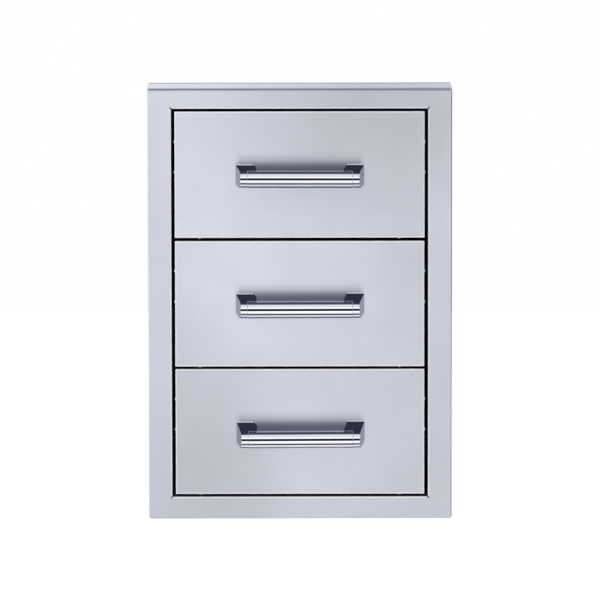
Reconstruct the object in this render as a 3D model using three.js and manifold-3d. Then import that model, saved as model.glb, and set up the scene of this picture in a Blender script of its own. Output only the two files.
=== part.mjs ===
// Built-in outdoor kitchen drawer unit: a folded trim frame, a cabinet box behind it and
// three drawers on full-extension ball slides.
//
// Millimetres. +X is to the right, +Y to the back of the unit, +Z up.
// The origin is the middle of the unit's bounding box in X and Y, at the frame's lower edge.

import * as THREE from "three";
import { mergeVertices } from "three/addons/utils/BufferGeometryUtils.js";
import Module from "manifold-3d";

const wasm = await Module();
wasm.setup();

// Sheet metal and fits
const sheet = 1.2;
const fit_gap = 0.3;
const cut_overrun = 2;
const arc_steps = 4;

// Trim frame: its flat face, the opening in it and the folds round it
const frame_width = 431.8;
const frame_height = 609.6;
const frame_depth = 19;
const side_rail_width = 34.1;
const bottom_rail_height = 31.5;
const top_rail_height = 27.8;
const lip_rise = 10.5;
const lip_end_inset = 1.9;
const side_bend_radius = 2.4;
const bottom_bend_radius = 5;
const crease_radius = 3;
const frame_corner_radius = 4;
const seat_hem_width = 10;
const inner_return_depth = 20;
const corner_nick_width = 1.4;
const corner_nick_length = 2.8;
const corner_nick_depth = 4;

// Drawer fronts, named from the lowest up
const places = ["bottom", "middle", "top"];
const front_side_gap = 4.5;
const front_end_gap = 3.5;
const front_between_gap = 3.7;
const front_depth = 19;
const front_corner_radius = 0.8;
const liner_flange_depth = 15;

// Cabinet box behind the frame
const cabinet_depth = 508;
const cabinet_flange_width = 15;

// Drawer trays
const tray_length = 457;
const tray_height = 125;
const tray_floor_lift = 14;
const tray_rim_width = 6;
const tray_rim_drop = 4;

// Ball slides: a C channel on the cabinet, a middle rail and a drawer rail nested in each other
const slide_thickness = 12.7;
const slide_height = 45;
const slide_length = 457;
const slide_lift = 45;
const rail_sheet = 1.2;
const rail_lip = 1.6;
const channel_flange = 9.6;
const middle_web_gap = 0.8;
const middle_flange = 8.6;
const drawer_rail_flange = 8.3;
const ball_diameter = 3.2;
const ball_clearance = 0.15;
const cage_sheet = 0.5;
const cage_length = 180;
const cage_ball_spacing = 50;
const cage_end_margin = 8;

// Pull handles: a tube between two cast posts that lean towards each other
const bar_diameter = 24;
const bar_wall = 1.5;
const bar_standoff = 38;
const bar_drop = 7.1;
const bar_half_length = 73.4;
const bar_sides = 40;
const post_cap_diameter = 23.4;
const post_width = 24.9;
const post_base_height = 26.8;
const post_base_drop = 0.5;
const post_base_spread = 77.9;
const post_lean = 7.5;
const post_arc_steps = 14;
const spigot_length = 8;
const spigot_sides = 24;

// Handle screws, driven from inside the tray
const screw_diameter = 5;
const screw_head_diameter = 10;
const screw_head_height = 3;
const screw_bite = 10;
const screw_sides = 12;

// Sizes that follow
const drawer_count = places.length;
const opening_width = frame_width - 2 * side_rail_width;
const opening_height = frame_height - bottom_rail_height - top_rail_height;
const front_width = opening_width - 2 * front_side_gap;
const front_gaps = 2 * front_end_gap + (drawer_count - 1) * front_between_gap;
const front_height = (opening_height - front_gaps) / drawer_count;
const front_pitch = front_height + front_between_gap;
const wall_x = opening_width / 2 + sheet + fit_gap;
const tray_width = 2 * (wall_x - slide_thickness - fit_gap);
const tray_front = front_depth + fit_gap;
const tray_floor = -front_height / 2 + tray_floor_lift;
const tray_top = tray_floor + tray_height;
const slide_z = tray_floor + slide_lift;
const slide_start = inner_return_depth + fit_gap;
const bar_radius = bar_diameter / 2;
const handle_projection = bar_standoff + bar_radius;
const face_y = (handle_projection - cabinet_depth) / 2;

// Finishes
function steel(color, roughness) {
  return new THREE.MeshStandardMaterial({ color, roughness, metalness: 1, flatShading: true });
}
const finishes = {
  brushed: steel(0xc9ccd4, 0.35),
  plain: steel(0xb9bcc2, 0.45),
  polished: steel(0xe6e7ea, 0.08),
  cast: steel(0xd4d6db, 0.15),
  zinc: steel(0xa9adb0, 0.4),
  cage: steel(0x8d9094, 0.5),
  screw: steel(0xb0b3b7, 0.3),
};

// Solids from three.js geometry
function solid(geometry) {
  geometry.deleteAttribute("normal");
  geometry.deleteAttribute("uv");
  const merged = mergeVertices(geometry);
  return new wasm.Manifold(new wasm.Mesh({
    numProp: 3,
    vertProperties: merged.attributes.position.array,
    triVerts: Uint32Array.from(merged.index.array),
  }));
}

function box(low, high) {
  const size = high.map((value, axis) => value - low[axis]);
  const middle = high.map((value, axis) => (value + low[axis]) / 2);
  return solid(new THREE.BoxGeometry(...size).translate(...middle));
}

// A closed outline with its corners rounded. Each corner is [across, up, radius].
function rounded(corners, steps = arc_steps) {
  const points = [];
  corners.forEach(([u, v, radius = 0], index) => {
    const corner = new THREE.Vector2(u, v);
    if (radius === 0) {
      points.push(corner);
      return;
    }
    const [before, after] = [-1, 1].map((step) => {
      const other = corners[(index + step + corners.length) % corners.length];
      return new THREE.Vector2(other[0], other[1]).sub(corner).normalize();
    });
    const half_angle = Math.acos(before.dot(after)) / 2;
    const setback = radius / Math.tan(half_angle);
    const inward = before.clone().add(after).normalize();
    const centre = corner.clone().addScaledVector(inward, radius / Math.sin(half_angle));
    const start = corner.clone().addScaledVector(before, setback).sub(centre);
    const end = corner.clone().addScaledVector(after, setback).sub(centre);
    const sweep = Math.atan2(start.cross(end), start.dot(end));
    for (let step = 0; step <= steps; step += 1) {
      const turned = start.clone().rotateAround(new THREE.Vector2(), (sweep * step) / steps);
      points.push(turned.add(centre));
    }
  });
  return points;
}

function extruded(points, length) {
  const shape = new THREE.Shape(points);
  return new THREE.ExtrudeGeometry(shape, { depth: length, bevelEnabled: false });
}

// An outline in Y and Z, run along X
function along_x(points, from, to) {
  const turn = new THREE.Matrix4().makeBasis(
    new THREE.Vector3(0, 1, 0), new THREE.Vector3(0, 0, 1), new THREE.Vector3(1, 0, 0));
  return solid(extruded(points, to - from).applyMatrix4(turn).translate(from, 0, 0));
}

// An outline in X and Z, run along Y
function along_y(points, from, to) {
  return solid(extruded(points, to - from).rotateX(Math.PI / 2).translate(0, to, 0));
}

// An outline in X and Y, run along Z
function along_z(points, from, to) {
  return solid(extruded(points, to - from).translate(0, 0, from));
}

function union(solids) {
  return solids.reduce((sum, next) => sum.add(next));
}

function rod(diameter, sides, from, to, x, z) {
  const middle = (from + to) / 2;
  const cylinder = new THREE.CylinderGeometry(diameter / 2, diameter / 2, to - from, sides);
  return solid(cylinder.translate(x, middle, z));
}

function named(name, made, finish) {
  const { vertProperties, triVerts } = made.getMesh();
  const geometry = new THREE.BufferGeometry();
  geometry.setAttribute("position", new THREE.BufferAttribute(vertProperties, 3));
  geometry.setIndex(new THREE.BufferAttribute(triVerts, 1));
  const mesh = new THREE.Mesh(geometry, finishes[finish]);
  mesh.name = name;
  return mesh;
}

// Trim frame. Its outside is the common part of three outlines: seen from above, from the side
// and from the front. The same outlines, a sheet smaller, hollow it out from behind.
function frame_block(inset, back) {
  const half = frame_width / 2 - inset;
  const foot = inset;
  const slope = lip_rise / frame_depth;
  const lip_inset = inset * Math.hypot(1, slope);
  const top_at = (y) => frame_height - lip_inset + slope * y;
  const side_bend = Math.max(side_bend_radius - inset, 0);
  const foot_bend = Math.max(bottom_bend_radius - inset, 0);
  const corner = Math.max(frame_corner_radius - inset, 0);
  const from_above = rounded([
    [-half, inset, side_bend], [half, inset, side_bend], [half, back], [-half, back]]);
  const from_side = rounded([
    [inset, foot, foot_bend], [back, foot],
    [back, top_at(back)], [inset, top_at(inset), crease_radius]]);
  const peak = frame_height + lip_rise;
  const from_front = rounded([
    [-half, foot, corner], [half, foot, corner],
    [half, frame_height], [half - lip_end_inset, peak],
    [lip_end_inset - half, peak], [-half, frame_height]]);
  return along_z(from_above, 0, peak)
    .intersect(along_x(from_side, -half, half))
    .intersect(along_y(from_front, inset, back));
}

function opening_block(margin, from, to) {
  const half = opening_width / 2 + margin;
  const low = bottom_rail_height - margin;
  return box([-half, from, low], [half, to, low + opening_height + 2 * margin]);
}

// A narrow slot that runs out of a corner of the opening, halfway between its two sides
function corner_nick(side, end) {
  const middle = bottom_rail_height + opening_height / 2;
  const corner = new THREE.Vector2((side * opening_width) / 2, middle + (end * opening_height) / 2);
  const out = new THREE.Vector2(side, end).setLength(corner_nick_length);
  const aside = new THREE.Vector2(-end, side).setLength(corner_nick_width / 2);
  const points = [[-1, -1], [1, -1], [1, 1], [-1, 1]].map(([along, across]) =>
    corner.clone().addScaledVector(out, along).addScaledVector(aside, across));
  return along_y(points, -cut_overrun, corner_nick_depth);
}

function trim_frame() {
  const back_window = box(
    [seat_hem_width - frame_width / 2, frame_depth - sheet - cut_overrun, seat_hem_width],
    [frame_width / 2 - seat_hem_width, frame_depth + cut_overrun, frame_height - seat_hem_width]);
  const shell = frame_block(0, frame_depth)
    .subtract(frame_block(sheet, frame_depth - sheet))
    .subtract(back_window.intersect(frame_block(sheet, frame_depth + cut_overrun)));
  const inner_return = opening_block(sheet, 0, inner_return_depth);
  const opening = opening_block(0, -cut_overrun, inner_return_depth + cut_overrun);
  const corners = [-1, 1].flatMap((side) => [-1, 1].map((end) => corner_nick(side, end)));
  return shell.add(inner_return).subtract(opening).subtract(union(corners));
}

// Cabinet box. The side panels fold in at the top, the foot and the back, and out at the front.
const panel_front = sheet + fit_gap;
const flange_low = bottom_rail_height - sheet - fit_gap;
const flange_high = bottom_rail_height + opening_height + sheet + fit_gap;
const panel_back = cabinet_depth - sheet - fit_gap;

function cabinet_side(side) {
  const inside = wall_x;
  const outside = wall_x + sheet;
  const tip = wall_x - cabinet_flange_width;
  const low = flange_low - sheet;
  const high = flange_high + sheet;
  const behind_frame = inner_return_depth + fit_gap;
  const strip = (x_range, y_range, z_range) => {
    const [from, to] = x_range.map((x) => side * x).sort((a, b) => a - b);
    return box([from, y_range[0], z_range[0]], [to, y_range[1], z_range[1]]);
  };
  return union([
    strip([inside, outside], [panel_front, panel_back], [low, high]),
    strip([tip, outside], [behind_frame, panel_back], [low, flange_low]),
    strip([tip, outside], [behind_frame, panel_back], [flange_high, high]),
    strip([tip, outside], [panel_back - sheet, panel_back], [low, high]),
    strip([inside, outside + cabinet_flange_width], [panel_front, panel_front + sheet], [low, high]),
  ]);
}

function cabinet_plate(low_z) {
  const half = wall_x + sheet;
  return box([-half, panel_front, low_z], [half, panel_back, low_z + sheet]);
}

const floor_z = flange_low - 2 * sheet - fit_gap;
const ceiling_z = flange_high + sheet + fit_gap;

function cabinet_back() {
  const half = wall_x + sheet;
  return box([-half, cabinet_depth - sheet, floor_z], [half, cabinet_depth, ceiling_z + sheet]);
}

// Slide rails and cages. A section is drawn in [out of the wall, up] from the slide's middle line.
const channel_inside = slide_height / 2 - rail_sheet;
const ball_track = ball_diameter + 2 * ball_clearance;
const middle_outside = channel_inside - ball_track;
const middle_inside = middle_outside - rail_sheet;
const drawer_rail_outside = middle_inside - ball_track;
const drawer_rail_inside = drawer_rail_outside - rail_sheet;
const middle_web = rail_sheet + middle_web_gap;

// A C section with a lip at the end of each flange
function lipped(web, flange, outside, lip) {
  const inside = outside - rail_sheet;
  const tip = web + flange;
  return [
    [web, -outside], [tip, -outside], [tip, lip - inside], [tip - rail_sheet, lip - inside],
    [tip - rail_sheet, -inside], [web + rail_sheet, -inside],
    [web + rail_sheet, inside], [tip - rail_sheet, inside],
    [tip - rail_sheet, inside - lip], [tip, inside - lip], [tip, outside], [web, outside]];
}

// A plain C section, open towards the wall when the flange is negative
function plain_channel(web, flange, outside, thickness) {
  const inside = outside - thickness;
  const turn = Math.sign(flange) * thickness;
  const tip = web + flange;
  return [
    [web, -outside], [tip, -outside], [tip, -inside], [web + turn, -inside],
    [web + turn, inside], [tip, inside], [tip, outside], [web, outside]];
}

function rail(side, section, from, length) {
  const points = section.map(([out, up]) => new THREE.Vector2(side * (wall_x - out), slide_z + up));
  return along_y(points, from, from + length);
}

function cage(side, web, ball_out, ball_up) {
  const start = slide_start + (slide_length - cage_length) / 2;
  const strip_half = cage_sheet / 2;
  const tip = ball_out - web + ball_diameter / 2 + cage_sheet;
  const strip = rail(side, plain_channel(web, tip, ball_up + strip_half, cage_sheet), start, cage_length);
  const gaps = Math.floor((cage_length - 2 * cage_end_margin) / cage_ball_spacing);
  const first = start + (cage_length - gaps * cage_ball_spacing) / 2;
  const balls = [];
  for (let index = 0; index <= gaps; index += 1) {
    for (const end of [-1, 1]) {
      const ball = new THREE.IcosahedronGeometry(ball_diameter / 2, 0);
      const up = slide_z + end * ball_up;
      ball.translate(side * (wall_x - ball_out), first + index * cage_ball_spacing, up);
      balls.push(solid(ball));
    }
  }
  return strip.add(union(balls));
}

const slide_pieces = {
  cabinet_channel: (side) => rail(side, lipped(0, channel_flange, slide_height / 2, rail_lip),
    slide_start, slide_length),
  intermediate_rail: (side) => rail(side, lipped(middle_web, middle_flange, middle_outside, rail_lip),
    slide_start, slide_length),
  drawer_rail: (side) => rail(side,
    plain_channel(slide_thickness, -drawer_rail_flange, drawer_rail_outside, rail_sheet),
    slide_start, slide_length),
  outer_cage: (side) => {
    const web = rail_sheet + (middle_web_gap - cage_sheet) / 2;
    const ball_out = middle_web + (channel_flange - rail_sheet - middle_web) / 2;
    return cage(side, web, ball_out, middle_outside + ball_track / 2);
  },
  inner_cage: (side) => {
    const web = middle_web + rail_sheet + ball_clearance;
    const rail_tip = slide_thickness - drawer_rail_flange;
    const middle_lip = middle_web + middle_flange - rail_sheet;
    return cage(side, web, (rail_tip + middle_lip - cage_sheet) / 2, drawer_rail_outside + ball_track / 2);
  },
};

// Drawer pieces, about the middle of the front's face
const post_middle_z = -post_base_drop;
const bar_z = -bar_drop;

function screw_hole(side, from, to) {
  const diameter = screw_diameter + 2 * fit_gap;
  return rod(diameter, screw_sides, from, to, side * post_base_spread, post_middle_z);
}

function screw_holes(from, to) {
  return screw_hole(-1, from, to).add(screw_hole(1, from, to));
}

function front_skin() {
  const half = front_width / 2;
  const rise = front_height / 2;
  const outside = along_y(rounded([
    [-half, -rise, front_corner_radius], [half, -rise, front_corner_radius],
    [half, rise, front_corner_radius], [-half, rise, front_corner_radius]]), 0, front_depth);
  const hollow = box([sheet - half, sheet, sheet - rise],
    [half - sheet, front_depth + cut_overrun, rise - sheet]);
  return outside.subtract(hollow).subtract(screw_holes(-cut_overrun, front_depth));
}

function front_liner() {
  const half = front_width / 2 - sheet - fit_gap;
  const rise = front_height / 2 - sheet - fit_gap;
  const start = front_depth - liner_flange_depth;
  const outside = box([-half, start, -rise], [half, front_depth, rise]);
  const hollow = box([sheet - half, start - cut_overrun, sheet - rise],
    [half - sheet, front_depth - sheet, rise - sheet]);
  return outside.subtract(hollow).subtract(screw_holes(start, front_depth + cut_overrun));
}

function tray() {
  const half = tray_width / 2;
  const back = tray_front + tray_length;
  const rim_half = half + tray_rim_width;
  const rim_back = back + tray_rim_width;
  const walls = box([-half, tray_front, tray_floor], [half, back, tray_top]);
  const rim_start = tray_front + tray_rim_width;
  const rim = box([-rim_half, rim_start, tray_top - tray_rim_drop], [rim_half, rim_back, tray_top]);
  const rim_groove = box(
    [sheet - rim_half, rim_start - cut_overrun, tray_top - tray_rim_drop - cut_overrun],
    [rim_half - sheet, rim_back - sheet, tray_top - sheet]);
  const hollow = box([sheet - half, tray_front + sheet, tray_floor + sheet],
    [half - sheet, back - sheet, tray_top + cut_overrun]);
  return rim.subtract(rim_groove)
    .add(walls)
    .subtract(hollow)
    .subtract(screw_holes(tray_front - cut_overrun, tray_front + sheet + cut_overrun));
}

// The post's side outline: a wedge from its base on the front to a round end about the bar
function post_outline() {
  const radius = post_cap_diameter / 2;
  const centre = new THREE.Vector2(-bar_standoff, bar_z);
  const tangent = (base_z, turn) => {
    const base = new THREE.Vector2(0, base_z);
    const reach = base.clone().sub(centre);
    return reach.angle() + turn * Math.acos(radius / reach.length());
  };
  const top = post_middle_z + post_base_height / 2;
  const foot = post_middle_z - post_base_height / 2;
  const from = tangent(top, 1);
  const to = tangent(foot, -1);
  const sweep = to - from;
  const points = [new THREE.Vector2(0, foot), new THREE.Vector2(0, top)];
  for (let step = 0; step <= post_arc_steps; step += 1) {
    const angle = from + (sweep * step) / post_arc_steps;
    const arm = new THREE.Vector2(radius, 0).rotateAround(new THREE.Vector2(), angle);
    points.push(arm.add(centre));
  }
  return points;
}

function bar_cylinder(radius, sides, from, to) {
  const cylinder = new THREE.CylinderGeometry(radius, radius, to - from, sides);
  cylinder.rotateZ(Math.PI / 2).translate((from + to) / 2, -bar_standoff, bar_z);
  return solid(cylinder);
}

function handle_post(side) {
  const [from, to] = [-1, 1].map((edge) => side * post_base_spread + (edge * post_width) / 2);
  const blank = extruded(post_outline(), to - from);
  const turn = new THREE.Matrix4().makeBasis(
    new THREE.Vector3(0, 1, 0), new THREE.Vector3(0, 0, 1), new THREE.Vector3(1, 0, 0));
  const lean = (side * post_lean) / handle_projection;
  const shear = new THREE.Matrix4().makeShear(0, 0, lean, 0, 0, 0);
  const body = solid(blank.applyMatrix4(turn).translate(from, 0, 0).applyMatrix4(shear));
  const seat_end = side * (bar_half_length + fit_gap);
  const bar_space = bar_cylinder(bar_radius + fit_gap, bar_sides,
    Math.min(seat_end, 0), Math.max(seat_end, 0));
  const spigot_end = side * (bar_half_length - spigot_length);
  const spigot_base = seat_end + side * spigot_length;
  const spigot = bar_cylinder(bar_radius - bar_wall - fit_gap, spigot_sides,
    Math.min(spigot_end, spigot_base), Math.max(spigot_end, spigot_base));
  return body.subtract(bar_space).add(spigot)
    .subtract(screw_hole(side, -screw_bite - fit_gap, cut_overrun));
}

function handle_bar() {
  const outside = bar_cylinder(bar_radius, bar_sides, -bar_half_length, bar_half_length);
  const end = bar_half_length + cut_overrun;
  return outside.subtract(bar_cylinder(bar_radius - bar_wall, spigot_sides, -end, end));
}

function handle_screw(side) {
  const x = side * post_base_spread;
  const seat = tray_front + sheet + fit_gap;
  const shank = rod(screw_diameter, screw_sides, -screw_bite, seat + screw_head_height, x, post_middle_z);
  const head = rod(screw_head_diameter, screw_sides, seat, seat + screw_head_height, x, post_middle_z);
  return shank.add(head);
}

// The unit, put together
const sides = { left: -1, right: 1 };

const unit = new THREE.Group();
unit.name = "drawer_unit";
unit.position.y = face_y;

unit.add(
  named("trim_frame", trim_frame(), "brushed"),
  named("cabinet_floor", cabinet_plate(floor_z), "plain"),
  named("cabinet_top", cabinet_plate(ceiling_z), "plain"),
  named("cabinet_back", cabinet_back(), "plain"),
);
for (const [side_name, side] of Object.entries(sides)) {
  unit.add(named(`cabinet_${side_name}_side`, cabinet_side(side), "plain"));
}

places.forEach((place, index) => {
  const drawer = new THREE.Group();
  drawer.position.z = bottom_rail_height + front_end_gap + front_height / 2 + index * front_pitch;
  drawer.add(
    named(`${place}_front_skin`, front_skin(), "brushed"),
    named(`${place}_front_liner`, front_liner(), "plain"),
    named(`${place}_tray`, tray(), "plain"),
    named(`${place}_handle_bar`, handle_bar(), "polished"),
  );
  for (const [side_name, side] of Object.entries(sides)) {
    drawer.add(
      named(`${place}_handle_post_${side_name}`, handle_post(side), "cast"),
      named(`${place}_handle_screw_${side_name}`, handle_screw(side), "screw"),
    );
    for (const [piece, make] of Object.entries(slide_pieces)) {
      const finish = piece.endsWith("cage") ? "cage" : "zinc";
      drawer.add(named(`${place}_${piece}_${side_name}`, make(side), finish));
    }
  }
  unit.add(drawer);
});

export default unit;
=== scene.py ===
"""Dresses a built-in stainless drawer unit for an outdoor kitchen.

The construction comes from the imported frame. This script makes the finer sheet-metal shapes of
what shows, the finishes, the small fasteners, the stage and the camera. Everything is in metres.
"""

import math

import bmesh
import bpy
from bpy.props import FloatProperty, FloatVectorProperty, IntProperty, PointerProperty
from bpy.types import Operator, Panel, PropertyGroup
from mathutils import Matrix, Vector


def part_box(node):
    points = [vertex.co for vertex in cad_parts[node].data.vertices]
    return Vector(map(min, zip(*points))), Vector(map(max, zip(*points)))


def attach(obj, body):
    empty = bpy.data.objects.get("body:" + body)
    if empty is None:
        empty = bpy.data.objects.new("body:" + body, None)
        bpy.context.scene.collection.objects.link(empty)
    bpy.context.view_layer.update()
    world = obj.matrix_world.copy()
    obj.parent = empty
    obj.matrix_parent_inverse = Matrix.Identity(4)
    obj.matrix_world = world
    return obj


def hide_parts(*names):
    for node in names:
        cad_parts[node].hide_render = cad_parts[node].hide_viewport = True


bl_info = {
    "name": "Outdoor kitchen drawer unit",
    "version": (1, 0, 0),
    "blender": (4, 5, 0),
    "location": "3D View > Sidebar > Drawer unit",
    "description": "Builds the finished surfaces of a built-in stainless drawer unit",
    "category": "Object",
}

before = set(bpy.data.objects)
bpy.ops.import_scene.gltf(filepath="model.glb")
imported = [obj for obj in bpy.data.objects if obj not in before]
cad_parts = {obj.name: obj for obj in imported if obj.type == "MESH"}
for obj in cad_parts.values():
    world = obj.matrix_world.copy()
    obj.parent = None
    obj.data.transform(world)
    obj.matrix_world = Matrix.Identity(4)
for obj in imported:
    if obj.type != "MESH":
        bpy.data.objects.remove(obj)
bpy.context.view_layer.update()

MM = 0.001
PLACES = ("bottom", "middle", "top")
SIDES = {"left": -1, "right": 1}

FRAME_LOW, FRAME_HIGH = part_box("trim_frame")
FACE_Y = FRAME_LOW[1]
FRONT_BOX = {place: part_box(f"{place}_front_skin") for place in PLACES}
BAR_BOX = {place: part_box(f"{place}_handle_bar") for place in PLACES}
RETURN_BACK = FRAME_HIGH[1]
OPENING_FOOT = 31.5 * MM
OPENING_TOP = 582.5 * MM
OPENING_HALF = 181.8 * MM

# How much smaller each front's skin is than its place: (at its left, right, foot, top).
FRONT_TRIM = {"top": (0.0, 0.35 * MM, 0.35 * MM, -0.3 * MM),
              "middle": (0.15 * MM, 0.6 * MM, 0.0, 0.5 * MM),
              "bottom": (0.35 * MM, 0.5 * MM, 0.5 * MM, 0.0)}

# How far each handle sits to the right of its front's middle, and its right end's rise in degrees.
HANDLE_ASIDE = {"top": 0.35 * MM, "middle": 0.35 * MM, "bottom": 0.8 * MM}
HANDLE_TILT = {"top": -0.12, "middle": 0.08, "bottom": 0.22}

# How far the middle of a post's base lies above its front's middle.
BASE_RISE = {"left": 0.05 * MM, "right": 0.65 * MM}

# Projection over which a post's inner side runs inwards, the shares of it at which that side has
# points, and the share over which the flare's end is eased.
FLARE_DEPTH = {"left": 18 * MM, "right": 33 * MM}
FLARE_SHARES = (0, 0.2, 0.4, 0.6, 0.8, 0.9, 0.97, 1.0, 1.06)
FLARE_EASE = 0.12

# Shade above a handle: (millimetres above the front's middle, depth), and the height it spans.
SHADE_FALL = ((-18, 0.0), (-10, 0.9), (4, 1.0), (9, 1.0), (12.8, 0.91), (15.6, 0.75), (18.5, 0.52),
              (21.3, 0.31), (24, 0.21), (27, 0.12), (30, 0.04), (34, 0.0))
SHADE_SPAN = 80 * MM

# How much lower the shade of each handle lies on its front.
SHADE_DROP = {"top": 0.2 * MM, "middle": 1.2 * MM, "bottom": 2.3 * MM}

# Painted light and shade over each sheet: (left, middle, right, rise to the top, twist).
SHEENS = {"top": (1.11, 1.055, 1.0, 0.005, 0.04), "middle": (1.055, 1.09, 0.985, 0.01, -0.045),
          "bottom": (0.95, 1.045, 0.945, -0.005, 0.01), "frame": (1.035, 1.03, 0.985, 0.05, 0.0)}

# Painted shade and light in soft places that all the sheets share: (x, z, half width, half height,
# depth).
SOFT_SPOTS = ((0.10, 0.59, 0.28, 0.20, 0.20), (-0.13, 0.02, 0.16, 0.20, 0.12),
              (-0.085, 0.31, 0.10, 0.17, -0.06))

# Height of the brushing's scratches.
BRUSHING_RELIEF = 0.1 * MM

# Polish of the drawn tubes and of the cast posts.
FINE_POLISH = dict(roughness=0.06, lines=2500, stretch=200, grain_depth=0.02, cloud_depth=0.02)
CAST_POLISH = dict(roughness=0.1, lines=600, stretch=3, grain_depth=0.02, cloud_depth=0.04)

# A tube's crest, where its painted dark reflection is lighter: its strength, how far it reaches to
# each side, and its soft end.
CREST_LIGHT = 0.66
POST_INSIDE = 61 * MM
POST_EDGE = 2 * MM

# Cosines of the angle to a way between which the mask of each kind of place rises from 0 to 1.
FACING = {"post top": (0.62, 0.72), "tube top": (0.71, 0.81), "crest": (0.86, 0.93),
          "under": (0.84, 0.88), "rim": (0.2, 0.5), "side": (0.8, 0.95), "cut end": (0.6, 0.9)}

# Painted shade lines of the frame's lip: their half widths, the crease's inset and the edge's drop.
CREASE_HALF = 3 * MM
CREASE_INSET = 1.5 * MM
LIP_EDGE_HALF = 1.5 * MM
LIP_EDGE_DROP = 0.2 * MM


def front_middle(place):
    """Height of the middle of a drawer front's place."""
    low, high = FRONT_BOX[place]
    return (low[2] + high[2]) / 2


def front_edges(place):
    """Left, right, foot and top of a front's skin."""
    low, high = FRONT_BOX[place]
    left, right, foot, top = FRONT_TRIM[place]
    return low[0] + left, high[0] - right, low[2] + foot, high[2] - top


def length(name, description, default, **limits):
    """A length that a user can change, in metres."""
    return FloatProperty(name=name, description=description, default=default,
                         subtype="DISTANCE", unit="LENGTH", precision=5, **limits)


def colour(name, description, default):
    """A linear colour that a user can change."""
    return FloatVectorProperty(name=name, description=description, default=default,
                               subtype="COLOR", size=3, min=0.0, max=1.0)


def amount(name, description, default, **limits):
    """A plain number that a user can change."""
    return FloatProperty(name=name, description=description, default=default, **limits)


def angle(name, description, degrees):
    """An angle that a user can change."""
    return FloatProperty(name=name, description=description, default=math.radians(degrees),
                         subtype="ANGLE", unit="ROTATION")


def facets(name, description, default, least):
    """A number of facets that a user can change."""
    return IntProperty(name=name, description=description, default=default, min=least)


class SheetSizes(PropertyGroup):
    """Folds of the frame and the fronts"""
    sheet: length("Sheet", "Thickness of the folded sheet", 1.2 * MM)
    frame_height: length("Frame face height", "From the lower edge to the lip's crease", 609.6 * MM)
    frame_depth: length("Frame depth", "From the face to the seat hem", 19 * MM)
    lip_inset: length("Lip end inset", "How far the lip's mitred ends draw in", 1.9 * MM)
    hem_width: length("Hem width", "Width of the hem that seats on the island", 10 * MM)
    side_bend: length("Side bend", "Outside radius of the frame's side bends", 2.4 * MM)
    foot_bend: length("Lower bend", "Outside radius of the frame's lower bend", 1.6 * MM)
    crease: length("Crease", "Outside radius of the bend under the lip", 3 * MM)
    opening_bend: length("Opening bend", "Outside radius of bends round the opening", 1.0 * MM)
    front_bend: length("Front bend", "Outside radius of bends round a drawer front", 0.9 * MM)
    corner: length("Corner", "Radius of the frame's lower corners", 4 * MM)
    lip_bend: length("Lip bend", "Outside radius of the bend at the top of the lip", 1.4 * MM)
    nick_width: length("Nick width", "Width of the slot at a corner of the opening", 2.3 * MM)
    nick_length: length("Nick length", "How far the slot runs out of the corner", 2.8 * MM)
    nick_depth: length("Nick depth", "Depth of the slot", 4 * MM)
    bend_steps: facets("Bend steps", "Facets in each bend", 8, 2)


class HandleSizes(PropertyGroup):
    """The pull handles"""
    bar_radius: length("Bar radius", "Radius of the tube", 12 * MM)
    bar_wall: length("Bar wall", "Wall of the tube", 1.5 * MM)
    bar_standoff: length("Bar stand-off", "From the front's face to the tube's middle", 38 * MM)
    bar_drop: length("Bar drop", "From the front's middle down to the tube's middle", 6.9 * MM)
    cap_radius: length("Cap radius", "Radius of a post's rounded end", 11.7 * MM)
    post_width: length("Post width", "Width of a post", 24.9 * MM)
    base_height: length("Base height", "Height of a post's base", 27.3 * MM)
    base_spread: length("Base spread", "From the front's middle to a base's middle", 78.4 * MM)
    lean: length("Lean", "How far a post leans inwards over the whole projection", 8.0 * MM)
    flare: length("Flare", "How far a post's inner side runs inwards from its base", 5 * MM)
    seat_margin: length("Seat margin", "How far the seat stands out round a post", 0.1 * MM)
    seat_rise: length("Seat rise", "How far the seat stands out above a post", 1.3 * MM)
    seat_thickness: length("Seat thickness", "Thickness of the seat under a post", 0.9 * MM)
    seat_gap: length("Seat gap", "Clearance between tube and post", 0.3 * MM)
    edge: length("Edge", "Rounding of a post's edges", 0.75 * MM)
    round_steps: facets("Round steps", "Facets round the tube", 96, 16)


class RivetSizes(PropertyGroup):
    """Pop rivets that join skin and liner, and the cabinet's sheets and slides"""
    head_radius: length("Head radius", "Radius of a rivet's head", 2.4 * MM)
    head_height: length("Head height", "Height of a rivet's head", 1.7 * MM)
    side_drop: length("First side rivet", "Below the front's upper edge", 42.5 * MM)
    second_drop: length("Second side rivet", "Below the front's upper edge", 86 * MM)
    foot_inset: length("Lower rivets", "In from the front's ends", 35.4 * MM)
    depth: length("Depth", "Behind the front's face", 3.6 * MM)
    box_radius: length("Cabinet head radius", "Radius of a head on the cabinet", 3.2 * MM)
    box_height: length("Cabinet head height", "Height of a head on the cabinet", 1.1 * MM)
    box_inset: length("Cabinet head inset", "From an edge of the cabinet to a head", 9 * MM)


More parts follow.
